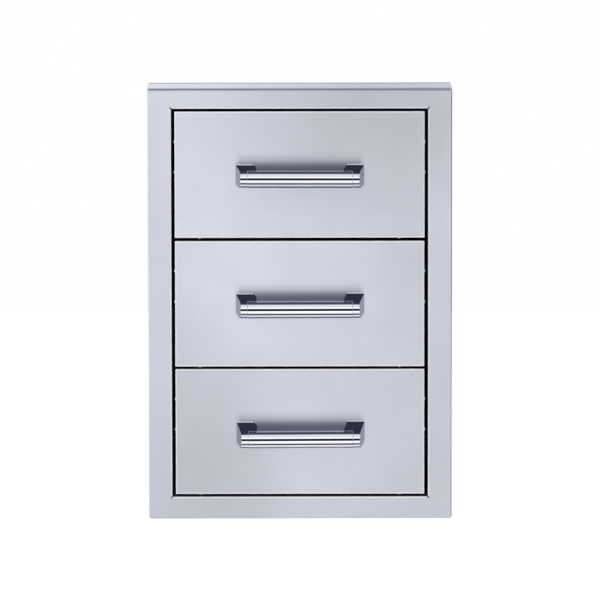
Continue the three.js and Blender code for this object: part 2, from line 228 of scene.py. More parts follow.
class Finishes(PropertyGroup):
    """Colours and polish"""
    sheet_colour: colour("Brushed sheet", "Frame and drawer fronts", (0.783, 0.797, 0.860))
    # Painted shade on the returns inside the gaps.
    gap_shade_colour: colour("Returns", "Painted shade inside the gaps", (0.25, 0.255, 0.28))
    shade_colour: colour("Handle shade", "Sheet above a pull handle", (0.145, 0.147, 0.197))
    box_colour: colour("Mill sheet", "Cabinet box and trays", (0.55, 0.56, 0.58))
    chrome_colour: colour("Polished steel", "Tubes and posts", (0.615, 0.62, 0.67))
    # Painted shade on the handles: dark reflections on the tubes' and posts' tops, and shade on the
    # posts' sides, the undersides, the rims and the posts' insides.
    tube_shade: colour("Tube's top", "Where the tubes face up", (0.05, 0.05, 0.085))
    post_shade: colour("Post's top", "Where the posts face up", (0.035, 0.036, 0.062))
    post_side_shade: colour("Post's sides", "Where the posts face sideways", (0.48, 0.485, 0.54))
    underside_shade: colour("Underside", "Where the handles face down", (0.08, 0.08, 0.12))
    rim_shade: colour("Rims", "Painted shade on the rounded rims of the tubes and the posts", (0.13, 0.13, 0.17))
    post_inside_shade: colour("Post insides", "Where the posts face each other", (0.16, 0.163, 0.20))
    post_edge: colour("Post's edge tint", "The posts' gloss at a low angle", (0.62, 0.62, 0.67))
    fastener_colour: colour("Fasteners", "Rivets and screws", (0.88, 0.88, 0.90))
    seat_colour: colour("Seats", "Seats under the posts", (0.74, 0.75, 0.81))
    # Painted shade on the front ends of the slide rails, which show in the gaps.
    rail_end_shade: colour("Rail ends", "The cut ends of the slide rails", (0.02, 0.02, 0.02))
    # Painted shade lines along the lip's crease, along the lip's top edge and along the frame's
    # lower bend.
    crease_shade: colour("Crease", "The line under the frame's lip", (0.20, 0.20, 0.26))
    lip_edge_shade: colour("Lip edge", "The line along the top of the lip", (0.23, 0.235, 0.265))
    foot_bend_shade: colour("Frame's foot", "The lower bend of the frame", (0.45, 0.46, 0.50))
    zinc_colour: colour("Zinc", "Slide rails", (0.50, 0.52, 0.53))
    cage_colour: colour("Cage", "Ball cages", (0.35, 0.36, 0.37))
    sheet_roughness: amount("Sheet roughness", "Roughness of the brushed sheet", 0.42, min=0, max=1)
    sheet_grain: amount("Sheet grain", "Pull of the brushing on reflections", 0.8, min=0, max=1)
    # Painted highlight along the edges at the gaps.
    edge_highlight: amount("Edge highlight", "Strength of the painted highlight along the edges at the gaps", 0.4, min=0)


class StageSettings(PropertyGroup):
    """Camera and surroundings"""
    camera_distance: length("Camera distance", "From the frame's face to the camera", 3.0)
    camera_aside: length("Camera aside", "To the right of the unit's middle", 0.35 * MM)
    camera_height: length("Camera height", "Above the floor", 0.4365)
    camera_pitch: angle("Camera pitch", "How far the camera looks down", 2.381)
    camera_roll: angle("Camera roll", "How far the camera leans to the right", 0.09)
    lens: amount("Lens", "Focal length in millimetres", 127.0, min=10)
    floor_size: length("Floor size", "Side of the square floor", 12.0)
    light: amount("Light", "Strength of the surroundings", 1.0, min=0)


GROUPS = {
    "sheet_sizes": SheetSizes,
    "handle_sizes": HandleSizes,
    "rivet_sizes": RivetSizes,
    "finishes": Finishes,
    "stage_settings": StageSettings,
}


# Paths and meshes

# How far a bend's support points lie from it, and the least inside radius of a bend.
BEND_SUPPORT = 0.5 * MM
LEAST_BEND = 0.2 * MM


def round_path(corners, bend_steps):
    """An open path with its inner corners rounded. Each corner is (a, b, radius)."""
    points = [Vector(corners[0][:2])]
    for index in range(1, len(corners) - 1):
        before, here, after = (Vector(corners[index + k][:2]) for k in (-1, 0, 1))
        radius = corners[index][2]
        into = (before - here).normalized()
        out = (after - here).normalized()
        half = into.angle(out) / 2
        setback = radius / math.tan(half)
        centre = here + (into + out).normalized() * (radius / math.sin(half))
        start = here + into * setback - centre
        end = here + out * setback - centre
        sweep = math.atan2(start.x * end.y - start.y * end.x, start.dot(end))
        points.append(here + into * (setback + BEND_SUPPORT))
        for step in range(bend_steps + 1):
            turn = Matrix.Rotation(sweep * step / bend_steps, 2)
            points.append(centre + turn @ start)
        points.append(here + out * (setback + BEND_SUPPORT))
    points.append(Vector(corners[-1][:2]))
    return points


def offset_corners(corners, distance):
    """The same path moved to its right by a distance, with the bends' inside radii."""
    lines = []
    for (a0, b0, _), (a1, b1, _) in zip(corners, corners[1:]):
        along = Vector((a1 - a0, b1 - b0)).normalized()
        aside = Vector((along.y, -along.x)) * distance
        lines.append((Vector((a0, b0)) + aside, along, Vector((a1, b1)) + aside))
    moved = [(*lines[0][0], 0.0)]
    for (p, d, _), (q, e, _), corner in zip(lines, lines[1:], corners[1:]):
        cross = d.x * e.y - d.y * e.x
        reach = ((q - p).x * e.y - (q - p).y * e.x) / cross
        moved.append((*(p + d * reach), max(corner[2] - distance, LEAST_BEND)))
    moved.append((*lines[-1][2], 0.0))
    return moved


def sheet_section(corners, sheet, bend_steps):
    """The closed section of a folded sheet: its outside, then its inside back again."""
    outside = round_path(corners, bend_steps)
    inside = round_path(offset_corners(corners, sheet), bend_steps)
    return outside + inside[::-1]


def mesh_object(name, build):
    """A new mesh object. Its mesh comes from a function that fills a bmesh."""
    mesh = bpy.data.meshes.new(name)
    made = bpy.data.objects.new(name, mesh)
    bpy.context.scene.collection.objects.link(made)
    bm = bmesh.new()
    build(bm)
    bmesh.ops.recalc_face_normals(bm, faces=bm.faces)
    bm.to_mesh(mesh)
    bm.free()
    return made


def new_piece(name, build, body):
    """A mesh object with a given name, riding on a body."""
    piece = mesh_object(name, build)
    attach(piece, body)
    return piece


def ease_edges(piece, width, segments, degrees):
    """Rounds the edges that are sharper than an angle."""
    ease = piece.modifiers.new("Eased edges", "BEVEL")
    ease.width = width
    ease.segments = segments
    ease.limit_method = "ANGLE"
    ease.angle_limit = math.radians(degrees)


def dress(piece, look, degrees=35.0):
    """Shades a piece smooth, keeping edges sharper than the angle, and paints it."""
    piece.data.shade_smooth()
    piece.data.set_sharp_from_angle(angle=math.radians(degrees))
    weighted = piece.modifiers.new("Face weights", "WEIGHTED_NORMAL")
    weighted.keep_sharp = True
    paint(piece, look)


def loft(bm, rings, closed=True, caps=False):
    """Joins rings of points, each with as many points as the last."""
    rows = [[bm.verts.new(point) for point in ring] for ring in rings]
    count = len(rows[0])
    pairs = list(zip(rows, rows[1:]))
    if closed:
        pairs.append((rows[-1], rows[0]))
    for row, following in pairs:
        for k in range(count):
            j = (k + 1) % count
            bm.faces.new((row[k], row[j], following[j], following[k]))
    if caps:
        bm.faces.new(rows[0])
        bm.faces.new(rows[-1][::-1])


def lathe(bm, profile, steps, place, closed=True):
    """Turns a profile of (radius, along) about X, then puts it in place."""
    turns = [2 * math.pi * step / steps for step in range(steps)]
    rings = [[place @ Vector((along, radius * math.cos(turn), radius * math.sin(turn)))
              for turn in turns] for radius, along in profile]
    loft(bm, rings, closed=closed, caps=not closed)


def cut_with(piece, build):
    """Cuts a solid out of a piece and keeps only the result."""
    cutter = mesh_object("cutter", build)
    modifier = piece.modifiers.new("Cut", "BOOLEAN")
    modifier.operation = "DIFFERENCE"
    modifier.solver = "EXACT"
    modifier.object = cutter
    depsgraph = bpy.context.evaluated_depsgraph_get()
    made = bpy.data.meshes.new_from_object(piece.evaluated_get(depsgraph))
    piece.modifiers.remove(modifier)
    spent = (piece.data, cutter.data)
    piece.data = made
    made.name = piece.name
    bpy.data.objects.remove(cutter)
    for mesh in spent:
        bpy.data.meshes.remove(mesh)


# Shader nodes

def join(tree, value, socket):
    """Links a term or a socket to a socket, or sets a plain value on it."""
    if isinstance(value, Term):
        value = value.socket
    if isinstance(value, bpy.types.NodeSocket):
        tree.links.new(value, socket)
    else:
        socket.default_value = value


def fill(tree, node, **inputs):
    """Joins values to a node's inputs by their labels, in which _ stands for a space."""
    for label, value in inputs.items():
        join(tree, value, node.inputs[label.replace("_", " ")])
    return node


def add_node(tree, kind, settings=(), **inputs):
    """A new shader node with its settings and inputs."""
    node = tree.nodes.new("ShaderNode" + kind)
    for name, value in dict(settings).items():
        setattr(node, name, value)
    return fill(tree, node, **inputs)


def operate(tree, kind, operation, *operands, **inputs):
    """A Math or Vector Math node."""
    node = add_node(tree, kind, {"operation": operation}, **inputs)
    for operand, socket in zip(operands, node.inputs):
        join(tree, operand, socket)
    return node


class Term:
    """A socket as a term of a sum. The signs + - * / and abs() add Math nodes to its tree."""

    def __init__(self, tree, socket):
        self.tree = tree
        self.socket = socket

    def math(self, operation, *operands):
        """A Math node of this term and others."""
        return self.of(operation, self, *operands)

    def of(self, operation, *operands):
        """A Math node of any terms, in this term's tree."""
        return Term(self.tree, operate(self.tree, "Math", operation, *operands).outputs[0])

    def clamped(self):
        """The same term, kept between 0 and 1."""
        self.socket.node.use_clamp = True
        return self

    def __abs__(self):
        return self.of("ABSOLUTE", self)

    def __add__(self, other):
        return self.of("ADD", self, other)

    def __sub__(self, other):
        return self.of("SUBTRACT", self, other)

    def __rsub__(self, other):
        return self.of("SUBTRACT", other, self)

    def __mul__(self, other):
        return self.of("MULTIPLY", self, other)

    def __truediv__(self, other):
        return self.of("DIVIDE", self, other)

    def __rtruediv__(self, other):
        return self.of("DIVIDE", other, self)


def position(tree, space="Object"):
    """X, Y and Z of a place, as terms."""
    where = add_node(tree, "TexCoord").outputs[space]
    return [Term(tree, socket) for socket in add_node(tree, "SeparateXYZ", Vector=where).outputs]


def table(value, pairs):
    """Reads a term between 0 and 1 off a table of (share, level)."""
    ramp = add_node(value.tree, "ValToRGB", Fac=value)
    elements = ramp.color_ramp.elements
    while len(elements) < len(pairs):
        elements.new(0.5)
    for element, (share, level) in zip(elements, pairs):
        element.position = share
        element.color = (level, level, level, 1)
    return Term(value.tree, ramp.outputs["Color"])


def smooth_step(value, start=0.0, end=1.0):
    """Rises softly from 0 to 1 while a term runs from a start to an end."""
    spread = add_node(value.tree, "MapRange", {"interpolation_type": "SMOOTHSTEP"},
                      Value=value, From_Min=start, From_Max=end)
    return Term(value.tree, spread.outputs["Result"])


def blend(tree, share, first, second):
    """A mix of two colours."""
    mix = add_node(tree, "Mix", {"data_type": "RGBA"}, Factor=share, A=first, B=second)
    return mix.outputs["Result"]


def within_sides(x, half_width, edge):
    """A mask of what lies nearer the unit's middle than a half width."""
    return (0.5 - (abs(x) - half_width) / edge).clamped()


# Shader node groups

# Kinds of the sockets that aren't plain numbers.
SOCKET_KINDS = {"Color": "NodeSocketColor", "Direction": "NodeSocketVector"}


def new_group(name, inputs, outputs):
    """An empty shader node group, its inputs as terms by label, and its output node."""
    group = bpy.data.node_groups.new(name, "ShaderNodeTree")
    for labels, way in ((inputs, "INPUT"), (outputs, "OUTPUT")):
        for label in labels:
            socket = group.interface.new_socket(
                name=label, in_out=way, socket_type=SOCKET_KINDS.get(label, "NodeSocketFloat"))
            if way == "INPUT":
                socket.default_value = inputs[label]
    sockets = group.nodes.new("NodeGroupInput").outputs
    given = {label: Term(group, sockets[label]) for label in inputs}
    return group, given, group.nodes.new("NodeGroupOutput")


def brushing_group(name):
    """Fine parallel scratches that run along X, as tone, roughness and height."""
    group, given, result = new_group(
        name, {"Lines per metre": 900.0, "Stretch": 60.0, "Depth": 0.05},
        ("Tone", "Roughness", "Height"))
    lines = given["Lines per metre"]
    scale = add_node(group, "CombineXYZ", X=lines / given["Stretch"], Y=lines, Z=lines)
    where = add_node(group, "TexCoord").outputs["Object"]
    stretched = operate(group, "VectorMath", "MULTIPLY", where, scale.outputs[0])
    noise = add_node(group, "TexNoise", Vector=stretched.outputs[0], Scale=1.0, Detail=3.0,
                     Roughness=0.6)
    height = Term(group, noise.outputs["Fac"])
    depth = (height - 0.5) * given["Depth"]
    fill(group, result, Tone=depth + 1.0, Roughness=depth, Height=height)
    return group


def cloud_group(name):
    """Slow changes of tone over a sheet, as a rolled and handled surface has."""
    group, given, result = new_group(name, {"Size": 0.15, "Depth": 0.06, "Seed": 0.0}, ("Tone",))
    where = add_node(group, "TexCoord").outputs["Object"]
    noise = add_node(group, "TexNoise", {"noise_dimensions": "4D"}, Vector=where,
                     W=given["Seed"], Scale=1.0 / given["Size"], Detail=1.5)
    depth = (Term(group, noise.outputs["Fac"]) - 0.5) * given["Depth"]
    fill(group, result, Tone=depth + 1.0)
    return group


def toned_group(name):
    """A colour times two tones."""
    group, given, result = new_group(
        name, {"Color": (0.6, 0.6, 0.6, 1.0), "Tone A": 1.0, "Tone B": 1.0}, ("Color",))
    both = given["Tone A"] * given["Tone B"]
    scaled = operate(group, "VectorMath", "SCALE", given["Color"], Scale=both)
    fill(group, result, Color=scaled.outputs[0])
    return group


def shade_group(name):
    """A mask of the soft shade of a pull handle on the front behind it."""
    group, given, result = new_group(
        name, {"Height": 0.0, "Half width": 88 * MM, "Edge": 9 * MM}, ("Mask",))
    x, _, z = position(group)
    share = (z - given["Height"]) / SHADE_SPAN + 0.5
    fall = table(share, [(mm * MM / SHADE_SPAN + 0.5, depth) for mm, depth in SHADE_FALL])
    fill(group, result, Mask=fall * within_sides(x, given["Half width"], given["Edge"]))
    return group


def rim_group(name):
    """Masks of the painted highlight along a rectangle's edge and of the painted shade on the
    returns inside a gap.
    """
    group, given, result = new_group(
        name, {"Half width": 0.18, "Half height": 0.09, "Height": 0.3, "Line width": 2.2 * MM,
               "Reach": 4 * MM, "Face": 0.0, "Bend": 1.5 * MM, "Fade": 2 * MM},
        ("Line", "Inside"))
    x, y, z = position(group)
    across = abs(x) - given["Half width"]
    above = abs(z - given["Height"]) - given["Half height"]
    away = across.math("MAXIMUM", above)
    line = 1.0 - (abs(away) / given["Line width"]).math("POWER", 4.0)
    deep = ((y - given["Face"] - given["Bend"]) / given["Fade"]).clamped()
    near = away.math("LESS_THAN", given["Reach"])
    fill(group, result, Line=line.clamped(), Inside=deep * near)
    return group


def facing_group(name):
    """A mask of the places that face one way, or either that way or the other."""
    group, given, result = new_group(
        name, {"Direction": (0.0, 0.0, 1.0), "From": 0.66, "To": 0.82}, ("Mask", "Both"))
    normal = add_node(group, "NewGeometry").outputs["Normal"]
    along = operate(group, "VectorMath", "DOT_PRODUCT", normal, given["Direction"])
    share = Term(group, along.outputs["Value"])
    fill(group, result, Mask=smooth_step(share, given["From"], given["To"]),
         Both=smooth_step(abs(share), given["From"], given["To"]))
    return group


def sheen_group(name):
    """Painted light and shade: broad changes of tone from left to right and from foot to top."""
    group, given, result = new_group(
        name, {"Left": 1.0, "Middle": 1.0, "Right": 1.0, "Rise": 0.0, "Twist": 0.0,
               "Height": 0.3, "Half width": 0.17, "Half height": 0.09}, ("Tone",))
    x, _, z = position(group)
    across = x / given["Half width"]
    above = (z - given["Height"]) / given["Half height"]
    tone = given["Middle"]
    for side, sign in (("Left", -1.0), ("Right", 1.0)):
        tone = tone + (given[side] - given["Middle"]) * smooth_step(across * sign)
    fill(group, result, Tone=tone + (above * given["Rise"] + across * above * given["Twist"]))
    return group


def spots_group(name):
    """The painted shade and light of soft places over the whole face, as one tone."""
    group, _, result = new_group(name, {}, ("Tone",))
    x, _, z = position(group)
    tone = 1.0
    for spot_x, spot_z, half_width, half_height, depth in SOFT_SPOTS:
        across = (x - spot_x) / half_width
        above = (z - spot_z) / half_height
        near = (1.0 - (across * across + above * above)).clamped()
        tone = (1.0 - near * near * depth) * tone
    fill(group, result, Tone=tone)
    return group


def line_group(name):
    """A mask of one level line, such as the crease under the frame's lip."""
    group, given, result = new_group(
        name, {"Height": 0.0, "Half width": 1 * MM, "Half length": 1.0, "Edge": 4 * MM}, ("Mask",))
    x, _, z = position(group)
    mask = (1.0 - abs(z - given["Height"]) / given["Half width"]).clamped()
    fill(group, result, Mask=mask * within_sides(x, given["Half length"], given["Edge"]))
    return group


GROUP_MAKERS = {"Brushing": brushing_group, "Cloud": cloud_group, "Toned": toned_group,
                "Handle shade": shade_group, "Facing": facing_group, "Level line": line_group,
                "Sheen": sheen_group, "Soft spots": spots_group, "Rim": rim_group}


def placed(tree, name, **values):
    """One of the shared node groups in a material, with its own values."""
    group = bpy.data.node_groups.get(name) or GROUP_MAKERS[name](name)
    return add_node(tree, "Group", {"node_tree": group}, **values)


def facing(tree, kind, way=(0, 0, 1), both=False):
    """A mask of what faces a way, as strictly as a kind of place asks for."""
    start, end = FACING[kind]
    node = placed(tree, "Facing", Direction=way, From=start, To=end)
    return Term(tree, node.outputs["Both" if both else "Mask"])


# Finishes

def principled(material):
    """A material's shader."""
    return material.node_tree.nodes["Principled BSDF"]


def metal(name, base, roughness, grain=0.0, lines=900.0, stretch=60.0, grain_depth=0.05,
          cloud_size=0.15, cloud_depth=0.06, bump=0.0, seed=0.0):
    """A metal with brushing or fine polish marks and a slow change of tone."""
    material = bpy.data.materials.new(name)
    material.use_nodes = True
    tree = material.node_tree
    brushing = placed(tree, "Brushing", Depth=grain_depth, Stretch=stretch, Lines_per_metre=lines)
    cloud = placed(tree, "Cloud", Size=cloud_size, Depth=cloud_depth, Seed=seed)
    toned = placed(tree, "Toned", Color=(*base, 1.0), Tone_A=brushing.outputs["Tone"],
                   Tone_B=cloud.outputs["Tone"])
    shader = fill(tree, principled(material), Metallic=1.0, Base_Color=toned.outputs["Color"],
                  Roughness=Term(tree, brushing.outputs["Roughness"]) + roughness)
    if grain:
        tangent = add_node(tree, "Tangent", {"direction_type": "RADIAL", "axis": "X"})
        fill(tree, shader, Anisotropic=grain, Tangent=tangent.outputs[0])
    if bump:
        raised = add_node(tree, "Bump", Strength=bump, Distance=BRUSHING_RELIEF,
                          Height=brushing.outputs["Height"])
        fill(tree, shader, Normal=raised.outputs["Normal"])
    return material


def colour_before(material):
    """The socket that feeds a material's base colour, and the base colour's own socket."""
    colour_in = principled(material).inputs["Base Color"]
    return colour_in.links[0].from_socket, colour_in


def tint_where(material, mask, tint):
    """Turns a metal's colour into another where a mask says so."""
    before, colour_in = colour_before(material)
    mixed = blend(material.node_tree, mask, before, (*tint, 1.0))
    material.node_tree.links.new(mixed, colour_in)


def tone_by(material, *tones):
    """Multiplies a metal's colour by one or two tones."""
    before, colour_in = colour_before(material)
    toned = placed(material.node_tree, "Toned", Color=before,
                   **dict(zip(("Tone_A", "Tone_B"), tones)))
    material.node_tree.links.new(toned.outputs["Color"], colour_in)


def brushed_finish(name, place):
    """Brushed sheet with the painted light and shade of one of its places, painted shade above a
    front's handle, a painted highlight along the edges at the gaps and painted shade inside them.
    """
    looks = bpy.context.scene.finishes
    material = metal(name, looks.sheet_colour, looks.sheet_roughness, looks.sheet_grain,
                     grain_depth=0.07, bump=0.15, cloud_size=0.075, cloud_depth=0.13,
                     seed=float(len(name)))
    tree = material.node_tree
    if place in PLACES:
        start, end, foot, top = front_edges(place)
        half_width = (end - start) / 2
        shade = placed(tree, "Handle shade", Height=front_middle(place) - SHADE_DROP[place])
        tint_where(material, shade.outputs["Mask"], looks.shade_colour)
    else:
        half_width, foot, top = OPENING_HALF, OPENING_FOOT, OPENING_TOP
    middle = dict(Height=(foot + top) / 2, Half_width=half_width, Half_height=(top - foot) / 2)
    # Painted light and shade over the sheet, and in the soft places that all the sheets share.
    left, centre, right, rise, twist = SHEENS[place]
    sheen = placed(tree, "Sheen", Left=left, Middle=centre, Right=right, Rise=rise, Twist=twist,
                   **middle)
    # Painted highlight along the edges at the gaps, and painted shade on the returns inside them.
    rim = placed(tree, "Rim", Face=FACE_Y, **middle)
    bright = Term(tree, rim.outputs["Line"]) * looks.edge_highlight + 1.0
    tone_by(material, sheen.outputs["Tone"], bright)
    tone_by(material, placed(tree, "Soft spots").outputs["Tone"])
    tint_where(material, rim.outputs["Inside"], looks.gap_shade_colour)
    return material


def frame_finish(name):
    """Brushed sheet with painted shade lines along the crease and the top edge of the frame's lip
    and along its lower bend.
    """
    sizes = bpy.context.scene.sheet_sizes
    looks = bpy.context.scene.finishes
    material = brushed_finish(name, "frame")
    half = FRAME_HIGH[0]
    for height, half_width, half_length, tint in (
            (sizes.frame_height, CREASE_HALF, half - CREASE_INSET, looks.crease_shade),
            (FRAME_HIGH[2] - LIP_EDGE_DROP, LIP_EDGE_HALF, half, looks.lip_edge_shade),
            (FRAME_LOW[2], sizes.foot_bend, half, looks.foot_bend_shade)):
        line = placed(material.node_tree, "Level line", Height=height, Half_width=half_width,
                      Half_length=half_length)
        tint_where(material, line.outputs["Mask"], tint)
    return material


def handle_finish(name, cast):
    """Polish with a painted dark reflection where it faces up, and painted shade, matt, where it
    faces down.

    Both have painted shade on their rims. A post is cast. It is also matt on top and has painted
    shade on its sides and insides. A tube is drawn, and its painted dark reflection is lighter on
    its crest between the posts.
    """
    looks = bpy.context.scene.finishes
    material = metal(name, looks.chrome_colour, **(CAST_POLISH if cast else FINE_POLISH))
    tree = material.node_tree
    shader = principled(material)
    x = position(tree)[0]
    across = (1, 0, 0)
    top = facing(tree, "post top" if cast else "tube top")
    under = facing(tree, "under", (0, 0, -1))
    # Painted shade on the rims, and on a post's sides and insides.
    tint_where(material, facing(tree, "rim", across, both=True), looks.rim_shade)
    if cast:
        inward = add_node(tree, "CombineXYZ", X=x.math("SIGN") * -1.0).outputs[0]
        tint_where(material, facing(tree, "side", across, both=True), looks.post_side_shade)
        tint_where(material, facing(tree, "side", inward), looks.post_inside_shade)
        fill(tree, shader, Specular_Tint=(*looks.post_edge, 1.0))
        dark = top
        matt = under.math("MAXIMUM", top)
    else:
        between_posts = within_sides(x, POST_INSIDE, POST_EDGE)
        dark = (top - facing(tree, "crest") * CREST_LIGHT * between_posts).clamped()
        matt = under
    # Painted shade underneath, and a painted dark reflection on top.
    tint_where(material, under, looks.underside_shade)
    tint_where(material, dark, looks.post_shade if cast else looks.tube_shade)
    fill(tree, shader, Specular_IOR_Level=0.0, Metallic=1.0 - matt)
    return material


def zinc_finish(name):
    """Zinc plate with painted shade on its cut ends."""
    looks = bpy.context.scene.finishes
    material = metal(name, looks.zinc_colour, roughness=0.36, cloud_size=0.02, cloud_depth=0.2)
    tint_where(material, facing(material.node_tree, "cut end", (0, -1, 0)), looks.rail_end_shade)
    return material


def plain_finish(name):
    """One of the metals without masks."""
    looks = bpy.context.scene.finishes
    recipes = {
        "brushed_seat": dict(base=looks.seat_colour, roughness=looks.sheet_roughness,
                             grain=looks.sheet_grain),
        "mill_sheet": dict(base=looks.box_colour, roughness=0.42, grain_depth=0.03,
                           cloud_depth=0.1),
        "cage_steel": dict(base=looks.cage_colour, roughness=0.5, cloud_size=0.01),
        "bright_fastener": dict(base=looks.fastener_colour, roughness=0.45, stretch=2),
    }
    return metal(name, **recipes[name])


FINISH_MAKERS = {
    "brushed_frame": frame_finish,
    "polished_tube": lambda name: handle_finish(name, cast=False),
    "polished_casting": lambda name: handle_finish(name, cast=True),
    "zinc_plate": zinc_finish,
}


def finish(name):
    """A finish of this unit, made once."""
    made = bpy.data.materials.get(name)
    if made:
        return made
    for place in PLACES:
        if name == f"brushed_{place}_front":
            return brushed_finish(name, place)
    return FINISH_MAKERS.get(name, plain_finish)(name)


def paint(obj, name):
    """Gives an object one finish all over."""
    if not obj.data.materials:
        obj.data.materials.append(finish(name))
    for slot in obj.material_slots:
        slot.material = finish(name)


# Trim frame

# Passes that refine the height of the lip's corner.
LIP_PASSES = 8

# Steps in each lower corner of the frame, its least radius, and the drop of the sides' top points.
CORNER_STEPS = 4
LEAST_CORNER = 0.3 * MM
SIDE_DROP = 2 * MM


def lip_corner(rise, depth, bend):
    """Height of the lip's sharp corner, so that the bend at its top reaches the rise."""
    corner = rise
    for _ in range(LIP_PASSES):
        slant = math.hypot(1, corner / depth)
        corner = rise + corner * bend / depth + bend * (slant - 1)
    return corner


def frame_rings(sizes):
    """The frame's folds as rings of points that run round it."""
    depth = sizes.frame_depth
    hem = sizes.hem_width
    rise = lip_corner(FRAME_HIGH[2] - sizes.frame_height, depth, sizes.lip_bend)
    back = RETURN_BACK - FACE_Y
    half = FRAME_HIGH[0]

    def folded(lip, opening, bend):
        corners = [(depth, hem, 0), (depth, -lip, sizes.lip_bend), (0, 0, bend),
                   (0, opening, sizes.opening_bend), (back, opening, 0)]
        return sheet_section(corners, sizes.sheet, sizes.bend_steps)

    side = folded(0, half - OPENING_HALF, sizes.side_bend)
    foot = folded(0, OPENING_FOOT, sizes.foot_bend)
    top = folded(rise, sizes.frame_height - OPENING_TOP, sizes.crease)
    rings = []
    for (side_y, side_in), (foot_y, foot_in), (top_y, top_in) in zip(side, foot, top):
        x = half - side_in
        z_top = sizes.frame_height - top_in
        radius = max(sizes.corner - max(side_in, 0.0), LEAST_CORNER)
        inset = sizes.lip_inset * max(0.0, -top_in / rise)
        z_mid = min(z_top, sizes.frame_height) - SIDE_DROP
        ring = []
        for side_sign in (-1, 1):
            for step in range(CORNER_STEPS + 1):
                k = step if side_sign < 0 else CORNER_STEPS - step
                angle = math.pi / 2 * k / CORNER_STEPS
                across = x - radius + radius * math.cos(angle)
                up = foot_in + radius - radius * math.sin(angle)
                ring.append((side_sign * across, side_y + (foot_y - side_y) * k / CORNER_STEPS, up))
        ring += [(x, side_y, z_mid), (x - inset, top_y, z_top), (inset - x, top_y, z_top),
                 (-x, side_y, z_mid)]
        rings.append([Vector((x, FACE_Y + y, z)) for x, y, z in ring])
    return rings


def corner_slot(bm, side, end, sizes):
    """A narrow slot that runs out of a corner of the opening, halfway between its two sides."""
    corner = Vector((side * OPENING_HALF, OPENING_FOOT if end < 0 else OPENING_TOP))
    out = Vector((side, end)).normalized() * sizes.nick_length
    aside = Vector((-end, side)).normalized() * sizes.nick_width / 2
    spots = [corner + out * along + aside * across
             for along, across in ((-1, -1), (1, -1), (1, 1), (-1, 1))]
    loft(bm, [[Vector((x, y, z)) for x, z in spots]
              for y in (FACE_Y - MM, FACE_Y + sizes.nick_depth)], closed=False, caps=True)


class UNIT_OT_trim_frame(Operator):
    """Folds the trim frame with its lip, hem, opening returns and corner nicks"""
    bl_idname = "drawer_unit.trim_frame"
    bl_label = "Trim frame"

    def execute(self, context):
        sizes = context.scene.sheet_sizes
        piece = new_piece("frame_sheet", lambda bm: loft(bm, frame_rings(sizes)),
                          "cabinet")

        def slots(bm):
            for side in (-1, 1):
                for end in (-1, 1):
                    corner_slot(bm, side, end, sizes)

        cut_with(piece, slots)
        dress(piece, "brushed_frame")
        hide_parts("trim_frame")
        return {"FINISHED"}


# Drawer fronts

# Outside and least radius of a front's corners, the radius inside its bends, and how far its rings
# run in over the face.
FRONT_CORNER = 0.8 * MM
FRONT_LEAST_CORNER = 0.2 * MM
FRONT_INSIDE_BEND = 0.3 * MM
FRONT_FACE_RING = 9 * MM


def rounded_rectangle(wide, high, radius):
    """Points round a rectangle with rounded corners. The sizes are halves."""
    points = []
    for quarter in range(4):
        corner_x = (wide - radius) * (1 if quarter in (0, 3) else -1)
        corner_z = (high - radius) * (1 if quarter in (0, 1) else -1)
        for third in range(4):
            angle = math.pi / 2 * (quarter + third / 3)
            points.append((corner_x + radius * math.cos(angle),
                           corner_z + radius * math.sin(angle)))
    return points


def front_rings(place, sizes):
    """A front's outer skin: face, bends and returns, outside then inside."""
    left, right, foot, top = front_edges(place)
    middle = Vector(((left + right) / 2, FACE_Y, (foot + top) / 2))
    low, high = FRONT_BOX[place]
    depth = high[1] - low[1]
    sheet = sizes.sheet
    outside = round_path([(0, FRONT_FACE_RING, 0), (0, 0, sizes.front_bend), (depth, 0, 0)],
                         sizes.bend_steps)
    inside = round_path([(depth, sheet, 0), (sheet, sheet, FRONT_INSIDE_BEND),
                         (sheet, FRONT_FACE_RING, 0)], sizes.bend_steps)
    rings = []
    for y, inwards in outside + inside:
        radius = max(FRONT_CORNER - inwards, FRONT_LEAST_CORNER)
        outline = rounded_rectangle((right - left) / 2 - inwards, (top - foot) / 2 - inwards,
                                    radius)
        rings.append([middle + Vector((x, y, z)) for x, z in outline])
    return rings


class UNIT_OT_fronts(Operator):
    """Folds the three drawer fronts"""
    bl_idname = "drawer_unit.fronts"
    bl_label = "Drawer fronts"

    def execute(self, context):
        sizes = context.scene.sheet_sizes
        for place in PLACES:
            rings = front_rings(place, sizes)
            piece = new_piece(f"{place}_front_sheet",
                              lambda bm: loft(bm, rings, closed=False, caps=True),
                              f"{place}_drawer")
            dress(piece, f"brushed_{place}_front")
            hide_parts(f"{place}_front_skin")
        return {"FINISHED"}


# Handles

# How much a tube's ends are eased, the radius of a seat's corners, and how far in the middle of its
# rounded edge lies, as a share of that edge.
TUBE_EASE = 0.25 * MM
SEAT_CORNER = 2.5 * MM
SEAT_BEND = 0.3


def handle_place(place):
    """Where a handle stands on its front."""
    spot = Matrix.Translation((HANDLE_ASIDE[place], FACE_Y, front_middle(place)))
    return spot @ Matrix.Rotation(-math.radians(HANDLE_TILT[place]), 4, "Y")


def bar_matrix(place, sizes):
    """Where a bar's middle is."""
    return handle_place(place) @ Matrix.Translation((0, -sizes.bar_standoff, -sizes.bar_drop))


def bar_profile(half, sizes):
    """The tube's wall as (radius, along), with its ends eased."""
    outer = sizes.bar_radius
    inner = outer - sizes.bar_wall
    return [(outer, TUBE_EASE - half), (outer, half - TUBE_EASE), (outer - TUBE_EASE, half),
            (inner, half), (inner, -half), (outer - TUBE_EASE, -half)]


